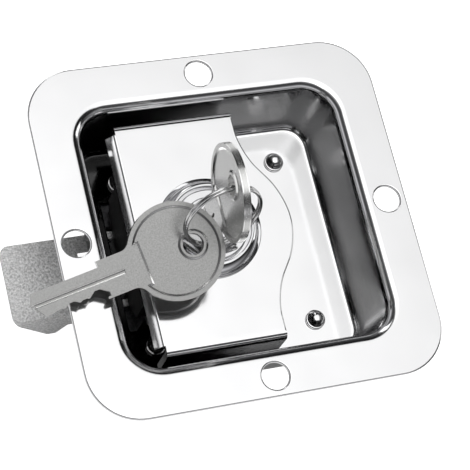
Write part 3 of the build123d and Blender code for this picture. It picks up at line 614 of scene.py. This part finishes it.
def drum(name, radius, at, length, along="Z", sides=64):
    """A round bar or disc about its middle."""
    turn = {"Z": (0, 0, 0), "Y": (pi / 2, 0, 0)}[along]
    return begin(name, bpy.ops.mesh.primitive_cylinder_add, at=at, vertices=sides,
                 radius=radius * MM, depth=length * MM, rotation=turn)


print("block and drum ready")

# %% [markdown]
# Holes are punched after pressing: four in the flange and a slot in the floor. The sheared edges
# are broken by a fine rounding, which is what draws the thin dark line round the flange and its
# holes. Clamping is off for it, because one tiny edge anywhere would shrink it to nothing.

# %% Holes
HOLE_REACH, HOLE_R, EDGE_BREAK = 42.14, 3.55, 0.5
SLOT = ((-28, -18, -26), (-12, 18, -18))
for x, y in ((HOLE_REACH, 0), (-HOLE_REACH, 0), (0, HOLE_REACH), (0, -HOLE_REACH)):
    carve(pan, drum("punch", HOLE_R, (x, y, SHEET / 2), 5 * SHEET))
carve(pan, block("slot_punch", *SLOT))
round_edges(pan, EDGE_BREAK, 4, clamp=False)
print("pan faces", len(pan.data.polygons))

# %% [markdown]
# The slot's waste is folded up as two ears that hold the hinge pin. Each is a block with a round
# end and the pin's hole, made by itself and then joined to the pan.

# %% Ears
HINGE_X, HINGE_Z, PIN_R, EAR_R = -22.0, -11.5, 2.5, 3.9
EAR_Y, EAR_EDGE = 17.4, 0.15
for side in (-1, 1):
    middle = side * EAR_Y
    ear = block("hinge_ear", (HINGE_X - EAR_R, middle - SHEET / 2, FLOOR_Z - SHEET),
                (HINGE_X + EAR_R, middle + SHEET / 2, HINGE_Z))
    eye = (HINGE_X, middle, HINGE_Z)
    carve(ear, drum("ear_round", EAR_R, eye, SHEET, along="Y"), "UNION")
    carve(ear, drum("ear_hole", PIN_R, eye, 5 * SHEET, along="Y"))
    round_edges(ear, EAR_EDGE, 2)
    choose(pan, ear)
    bpy.ops.object.join()
dress(pan, pan_steel, "housing", "polished_stainless", "pan")

# %% [markdown]
# ## The paddle
# The paddle is bent from thicker sheet. Its face is one outline with an S-curved finger tab. It
# could be drawn as a curve, but a rectangle does as well: its right edge is cut in three, the
# middle part is pulled out and narrowed, and the corners are rounded.

# %% Paddle face and tab
PADDLE_Z = -2.2
CREASE, STRAIGHT, TAB_TIP = -25.0, 7.0, 16.1
PADDLE_HALF, BEND = 31.9, 1.9
TAB_ROOT, TAB_HALF, TAB_ROUND = 20.0, 6.6, 6.2
flat_half = PADDLE_HALF - BEND
middle = ((CREASE + STRAIGHT) / 2, 0, PADDLE_Z)
paddle = begin("bent_paddle", bpy.ops.mesh.primitive_plane_add, at=middle, size=MM)
bpy.ops.transform.resize(value=(STRAIGHT - CREASE, 2 * flat_half, 1),
                         center_override=Vector(middle) * MM)
bpy.ops.object.transform_apply(location=True, rotation=True, scale=True)
open_up(paddle)
for y in (-TAB_ROOT, TAB_ROOT):
    bpy.ops.mesh.select_all(action="SELECT")
    bpy.ops.mesh.bisect(plane_co=(0, y * MM, 0), plane_no=(0, 1, 0))
pick(paddle, "EDGE", lambda p: abs(p.x - STRAIGHT) < NEAR and abs(p.y) < 1)
reach = ((TAB_TIP - STRAIGHT) * MM, 0, 0)
bpy.ops.mesh.extrude_edges_move(TRANSFORM_OT_translate={"value": reach})
bpy.ops.transform.resize(value=(1, TAB_HALF / TAB_ROOT, 1),
                         center_override=(TAB_TIP * MM, 0, PADDLE_Z * MM))
bpy.ops.mesh.select_all(action="SELECT")
bpy.ops.mesh.dissolve_limited(angle_limit=radians(1), use_dissolve_boundaries=False)
pick(paddle, "VERT", lambda p: abs(p.y) < TAB_ROOT + 0.1 and p.x > STRAIGHT - 0.1)
bpy.ops.mesh.bevel(offset=TAB_ROUND * MM, segments=12, affect="VERTICES")
print("tab outline points", len(bmesh.from_edit_mesh(paddle.data).verts))

# %% [markdown]
# A press brake turns the upper and lower edges down round a bend. Spin does the same with an edge:
# it sweeps it through a quarter turn about the bend's centre, and an extrusion lengthens the side.

# %% Turned-down sides
SIDE_FOOT = -14.0
drop = (0, 0, (SIDE_FOOT - (PADDLE_Z - BEND)) * MM)
for side in (-1, 1):
    pick(paddle, "EDGE", lambda p: abs(p.y - side * flat_half) < NEAR)
    centre = (0, side * flat_half * MM, (PADDLE_Z - BEND) * MM)
    bpy.ops.mesh.spin(steps=8, angle=side * radians(90), center=centre, axis=(1, 0, 0))
    bpy.ops.mesh.extrude_edges_move(TRANSFORM_OT_translate={"value": drop})
print("side foot at", SIDE_FOOT)

# %% [markdown]
# The left edge gets a shallow slope, which stiffens it beside the hinge. The slope is shorter than
# the edge, so the face is first cut at the slope's two ends.

# %% Left lip
LIP_HALF, LIP_BEND, LIP_RUN = 29.0, 1.0, 1.75
for y in (-LIP_HALF, LIP_HALF):
    pick(paddle, "FACE", lambda p, n: abs(n.z) > FLAT)
    bpy.ops.mesh.bisect(plane_co=(0, y * MM, 0), plane_no=(0, 1, 0))
pick(paddle, "EDGE",
     lambda p: abs(p.x - CREASE) < NEAR and abs(p.y) < 5 and p.z > PADDLE_Z - NEAR)
centre = (CREASE * MM, 0, (PADDLE_Z - LIP_BEND) * MM)
bpy.ops.mesh.spin(steps=5, angle=radians(45), center=centre, axis=(0, 1, 0))
slope = (-LIP_RUN * MM, 0, -LIP_RUN * MM)
bpy.ops.mesh.extrude_edges_move(TRANSFORM_OT_translate={"value": slope})
reaches = min(vertex.co.x for vertex in bmesh.from_edit_mesh(paddle.data).verts)
print("lip reaches", round(reaches / MM, 2))

# %% [markdown]
# Solidify gives the sheet its thickness, inwards, and the lock's hole is punched. The front
# outline of the straight edge and the tab gets a broader rounding of its own, picked by its place,
# because it draws the dark S-line in the photograph. All other edges are only broken.

# %% Paddle sheet
PADDLE_SHEET, OUTLINE_ROUND, PADDLE_BREAK = 1.8, 0.42, 0.30
LOCK_X, LOCK_HOLE_R, PUNCH_LONG = -6.5, 9.6, 8
bpy.ops.mesh.select_all(action="SELECT")
bpy.ops.mesh.remove_doubles(threshold=0.00001)
face_up(paddle)
close_up()
use(paddle, "SOLIDIFY", thickness=PADDLE_SHEET * MM, offset=-1.0, use_even_offset=True)
carve(paddle, drum("lock_punch", LOCK_HOLE_R, (LOCK_X, 0, -3), PUNCH_LONG))
open_up(paddle)
pick(paddle, "EDGE", lambda p: p.x > STRAIGHT - 0.2 and abs(p.z - PADDLE_Z) < NEAR)
bpy.ops.mesh.bevel(offset=OUTLINE_ROUND * MM, segments=3, clamp_overlap=False)
close_up()
round_edges(paddle, PADDLE_BREAK, 3)
dress(paddle, stainless, "paddle", "polished_stainless", "paddle")
corners = (paddle.bound_box[0], paddle.bound_box[6])
print("paddle box", [[round(value / MM, 2) for value in corner] for corner in corners])

# %% [markdown]
# ## The lock's bezel
# A chrome ring hides the edge of the hole. It is turned from bar: a disc whose outer edge is
# rounded broadly, so that it shows one dark band all round, with a narrow flat crest that stays
# bright, and a bore that falls straight down beside the barrel.

# %% Bezel
BEZEL_R, BEZEL_EYE, BEZEL_RISE = 13.65, 10.4, 3.4
BEZEL_ROUND, BEZEL_BULGE, BEZEL_BREAK = 2.7, 0.34, 0.28
bezel = drum("turned_bezel", BEZEL_R, (LOCK_X, 0, PADDLE_Z + BEZEL_RISE / 2), BEZEL_RISE,
             sides=128)
open_up(bezel)
pick(bezel, "FACE", lambda p, n: n.z > FLAT)
bpy.ops.mesh.bevel(offset=BEZEL_ROUND * MM, segments=10, profile=BEZEL_BULGE)
close_up()
carve(bezel, drum("eye", BEZEL_EYE, (LOCK_X, 0, PADDLE_Z + 2), PUNCH_LONG, sides=128))
round_edges(bezel, BEZEL_BREAK, 3, 50)
dress(bezel, chrome, "paddle", "lock_chrome", "lock_bezel")

# %% [markdown]
# ## Sharp-edged solids
# Some pieces are already right in the CAD model, apart from edges that no real tool leaves so
# sharp. The bolt could be modelled again from a box, but its copy is exact: its doubles are merged
# and its flat faces joined again, and then every sharp edge is rounded by a size that suits its
# own making. The CAD mesh itself is left alone.

# %% Copies with rounded edges
def twin(piece, name):
    """A copy of a piece, with a mesh of its own."""
    copy = piece.copy()
    copy.data = piece.data.copy()
    copy.name = name
    bpy.context.scene.collection.objects.link(copy)
    return copy


def bare_copy(node, name):
    """A copy of a CAD piece with its doubles merged and its flat faces joined."""
    piece = twin(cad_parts[node], name)
    piece.parent = None
    piece.matrix_world = Matrix.Identity(4)
    open_up(piece)
    bpy.ops.mesh.select_all(action="SELECT")
    bpy.ops.mesh.remove_doubles(threshold=0.000002)
    bpy.ops.mesh.customdata_custom_splitnormals_clear()
    bpy.ops.mesh.select_all(action="SELECT")
    bpy.ops.mesh.dissolve_limited(angle_limit=radians(0.6))
    close_up()
    return piece


BOLT_EDGE, BARREL_EDGE = 0.35, 0.10
bolt = bare_copy("slam_bolt", "grainy_bolt")
round_edges(bolt, BOLT_EDGE, 3, 30)
dress(bolt, zinc, "bolt", "zinc_plate", "slam_bolt")
barrel = bare_copy("lock_barrel", "polished_barrel")
round_edges(barrel, BARREL_EDGE, 2, 30)
dress(barrel, chrome, "paddle", "lock_chrome", "lock_barrel")

# %% [markdown]
# ## The keys
# Both keys are coined from one nickel-plated blank, so one is finished and copied. It is easiest
# to work on when it lies flat about its own head, so its place in the lock is written as a matrix
# that can be undone and put back.

# %% Where a key lies
def key_place(head, along, facing):
    """The frame of a key: head centre, blade direction and face, in millimetres."""
    x = Vector(along).normalized()
    z = (Vector(facing) - x * Vector(facing).dot(x)).normalized()
    turn = Matrix((x, z.cross(x), z)).transposed().to_4x4()
    return Matrix.Translation(Vector(head) * MM) @ turn


KEY_HEAD_Z, DOWN, LEFTWARDS = 21.6, (0, 0, -1), (-1, 0, 0)
lock_place = key_place((LOCK_X, 0, KEY_HEAD_Z), DOWN, LEFTWARDS)
key = bare_copy("key", "key_in_lock")
key.data.transform(lock_place.inverted())
ends = [vertex.co.x / MM for vertex in key.data.vertices]
print("key lies flat, length", round(max(ends) - min(ends), 1))

# %% [markdown]
# The bow is sunk inside its rim and round its hole, the neck stands proud of it, and a groove runs
# down the blade. The sunk face is inset and the old step is raised to meet the rim, which turns an
# upright step into a gentle slope that catches the light. The groove's floor is narrowed to a V.

# %% Key blank
KEY_HALF, SUNK, GROOVE = 0.95, 0.35, 0.4
SLOPE, V_FLOOR, KEY_EDGE, KEY_NEAR = 0.6, 0.25, 0.10, 0.02
open_up(key)
for side in (-1, 1):
    sunk_z, groove_z = side * (KEY_HALF - SUNK), side * (KEY_HALF - GROOVE)
    found = pick(key, "FACE", lambda p, n: abs(p.z - sunk_z) < KEY_NEAR and abs(n.z) > FLAT)
    bpy.ops.mesh.inset(thickness=SLOPE * MM, use_even_offset=True)
    points = bmesh.from_edit_mesh(key.data).verts
    rim = [v for v in points if abs(v.co.z / MM - sunk_z) < KEY_NEAR and not v.select]
    bpy.ops.mesh.select_all(action="DESELECT")
    for vertex in rim:
        vertex.select_set(True)
    shift(z=side * SUNK)
    print("sunk faces", found, "rim points", len(rim))
    pick(key, "VERT", lambda p: abs(p.z - groove_z) < KEY_NEAR)
    bpy.ops.transform.resize(value=(1, V_FLOOR, 1), center_override=(0, 0, 0))
bpy.ops.mesh.select_all(action="SELECT")
bpy.ops.mesh.remove_doubles(threshold=0.00001)
close_up()
round_edges(key, KEY_EDGE, 2, 24)

# %% [markdown]
# Handling polishes a key where it stands proud, so the slopes between the sunk and the proud level
# are smoother, and their colour is painted brighter, a painted highlight for their fine bright
# lines.
# The material finds them by the height above the key's own middle plane: the mapping turns the
# object's coordinates into the key's.

# %% Polished steps and a painted highlight
STEP_LOW, STEP_HIGH = (0.02, 0.07), (-0.02, -0.07)
STEP_HIGHLIGHT_TONE, STEP_ROUGH = (0.92, 0.92, 0.91, 1), 0.14


def polished_highlit_steps(material, matrix):
    """Paints a highlight into a key's colour between its two levels, and smooths it, in the key's
    frame.
    """
    tree = material.node_tree
    own = tree.nodes.new("ShaderNodeMapping")
    own.vector_type = "TEXTURE"
    own.inputs["Location"].default_value = matrix.to_translation()
    own.inputs["Rotation"].default_value = matrix.to_euler()
    flip = tree.nodes.new("ShaderNodeVectorMath")
    flip.operation = "ABSOLUTE"
    split = tree.nodes.new("ShaderNodeSeparateXYZ")
    tree.links.new(tree.nodes.new("ShaderNodeTexCoord").outputs["Object"], own.inputs["Vector"])
    tree.links.new(own.outputs["Vector"], flip.inputs[0])
    tree.links.new(flip.outputs["Vector"], split.inputs[0])
    low = band(tree, split.outputs["Z"], *[KEY_HALF - SUNK + step for step in STEP_LOW])
    high = band(tree, split.outputs["Z"], *[KEY_HALF + step for step in STEP_HIGH])
    slope = combine(tree, "MULTIPLY", low, high)
    # Painted highlight: the slopes' colour is made brighter than the key's own.
    lay_over(material, "Base Color", slope, STEP_HIGHLIGHT_TONE)
    lay_over(material, "Roughness", slope, grey(STEP_ROUGH))


print("polished steps ready")

# %% [markdown]
# One key goes back into the lock. The other hangs on the ring: its place follows from the centre
# of its hole and from its tip, and its face looks up at the camera.

# %% Both keys
SPARE_HOLE, SPARE_TIP = Vector((-15.1, -7.3, 8.4)), Vector((-56.5, -15.6, 3.4))
SPARE_FACE, HOLE_TO_HEAD = (-0.10, -0.28, 0.95), 4.6
along = SPARE_TIP - SPARE_HOLE
head = SPARE_HOLE + along.normalized() * HOLE_TO_HEAD
ring_place = key_place(head, along, SPARE_FACE)
spare = twin(key, "key_on_ring")
key.data.transform(lock_place)
spare.data.transform(ring_place)
polished_highlit_steps(nickel, lock_place)
polished_highlit_steps(shaded_nickel, ring_place)
dress(key, nickel, "lock_key", "key_nickel", "key")
dress(spare, shaded_nickel, "hanging_key", "key_nickel", "spare_key")

# %% [markdown]
# ## The split ring
# A split ring is one flattened wire wound twice round, whose turns change place at a short step.
# A curve with a bevel could follow it, but its step is easier to see in this way: two tori lie on
# each other, and both are opened over a short sector.

# %% Two turns
RING_R, WIRE_R, TURN_PITCH = 10.2, 0.44, 0.90
GAP_HALF, ONE_SEGMENT = radians(13), radians(1.3)
turns = [begin(name, bpy.ops.mesh.primitive_torus_add, at=(0, 0, side * TURN_PITCH / 2),
               major_radius=RING_R * MM, minor_radius=WIRE_R * MM,
               major_segments=144, minor_segments=14)
         for name, side in (("split_ring_wire", -1), ("upper_turn", 1))]
ring = turns[0]
choose(*turns)
bpy.ops.object.join()
open_up(ring)
removed = pick(ring, "FACE", lambda p, n: abs(atan2(p.y, p.x)) < GAP_HALF)
bpy.ops.mesh.delete(type="FACE")
print("faces opened", removed)

# %% [markdown]
# A bridge joins the end of one turn to the start of the other, and makes the step. The two free
# ends stay as cut ends, each closed with a face. The ring is then laid where it passes through the
# holes of both keys.

# %% Split ring
RING_CENTRE = Vector((-7.7739, -3.4177, 15.0744))
RING_AXIS = Vector((0.138691, -0.937904, 0.317965))
STEP_AT = radians(60)


def at_end(p, level, side):
    """Whether a vertex is on the cut end of one turn: its level, and the side of the gap."""
    angle = atan2(p.y, p.x) * side
    return p.z * level > 0 and 0 < angle < GAP_HALF + ONE_SEGMENT


pick(ring, "VERT", lambda p: at_end(p, -1, 1) or at_end(p, 1, -1))
bpy.ops.mesh.bridge_edge_loops(number_cuts=6, interpolation="SURFACE", smoothness=1.0)
for level, side in ((-1, -1), (1, 1)):
    pick(ring, "VERT", lambda p: at_end(p, level, side))
    bpy.ops.mesh.edge_face_add()
bpy.ops.mesh.select_all(action="SELECT")
bpy.ops.mesh.normals_make_consistent(inside=False)
close_up()
lie = RING_AXIS.to_track_quat("Z", "Y").to_matrix().to_4x4()
step_turn = Matrix.Rotation(STEP_AT, 4, "Z")
ring.data.transform(Matrix.Translation(RING_CENTRE * MM) @ lie @ step_turn)
bpy.ops.object.shade_smooth_by_angle(angle=radians(50))
dress(ring, wire, "ring", "spring_steel", "split_ring")

# %% [markdown]
# ## Rivets
# Four rivets hold the bolt's guide behind the floor. Their heads are upset in a cup: a round collar
# with a smaller crown. One is made from a disc by inset, extrude and bevel, and gets its shank and
# its tail behind the floor.

# %% One rivet
COLLAR_R, COLLAR_HIGH, SHOULDER = 2.65, 0.9, 0.45
CROWN_HIGH, CROWN_ROUND, RIVET_EDGE = 2.1, 1.9, 0.18
SHANK_R, SHANK_Z, SHANK_LONG = 2.0, -24.0, 6.0
TAIL_R, TAIL_Z, TAIL_HIGH = 2.95, -25.6, 1.4
rivet = drum("dish_rivets", COLLAR_R, (0, 0, FLOOR_Z + COLLAR_HIGH / 2), COLLAR_HIGH, sides=40)
open_up(rivet)
pick(rivet, "FACE", lambda p, n: n.z > FLAT)
bpy.ops.mesh.inset(thickness=SHOULDER * MM)
bpy.ops.mesh.extrude_region_move(TRANSFORM_OT_translate={"value": (0, 0, CROWN_HIGH * MM)})
bpy.ops.mesh.bevel(offset=CROWN_ROUND * MM, segments=8)
close_up()
carve(rivet, drum("shank", SHANK_R, (0, 0, SHANK_Z), SHANK_LONG, sides=40), "UNION")
carve(rivet, drum("tail", TAIL_R, (0, 0, TAIL_Z), TAIL_HIGH, sides=40), "UNION")
round_edges(rivet, RIVET_EDGE, 2)
print("rivet faces", len(rivet.data.polygons))

# %% [markdown]
# The finished rivet is copied to the guide's four corners. Each copy has its own mesh, so that its
# place can be written into it, and the four are joined as one group.

# %% Four rivets
RIVET_X, RIVET_Y = 22.3, 23.1
spots = [(x, y, 0) for x in (-RIVET_X, RIVET_X) for y in (-RIVET_Y, RIVET_Y)]
rivets = [rivet] + [twin(rivet, "rivet_copy") for spot in spots[1:]]
for piece, spot in zip(rivets, spots):
    piece.data.transform(Matrix.Translation(Vector(spot) * MM))
choose(*rivets)
bpy.ops.object.join()
dress(rivet, stainless, "housing", "polished_stainless", "bracket_rivets")

# %% [markdown]
# The box of the finished model is written beside the CAD box, to see that nothing has grown.

# %% Sizes and finish
final_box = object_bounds()
grown = [max(cad_box[0][axis] - final_box[0][axis], final_box[1][axis] - cad_box[1][axis])
         for axis in range(3)]
print("grown past the CAD box, mm", [round(value / MM, 3) for value in grown])
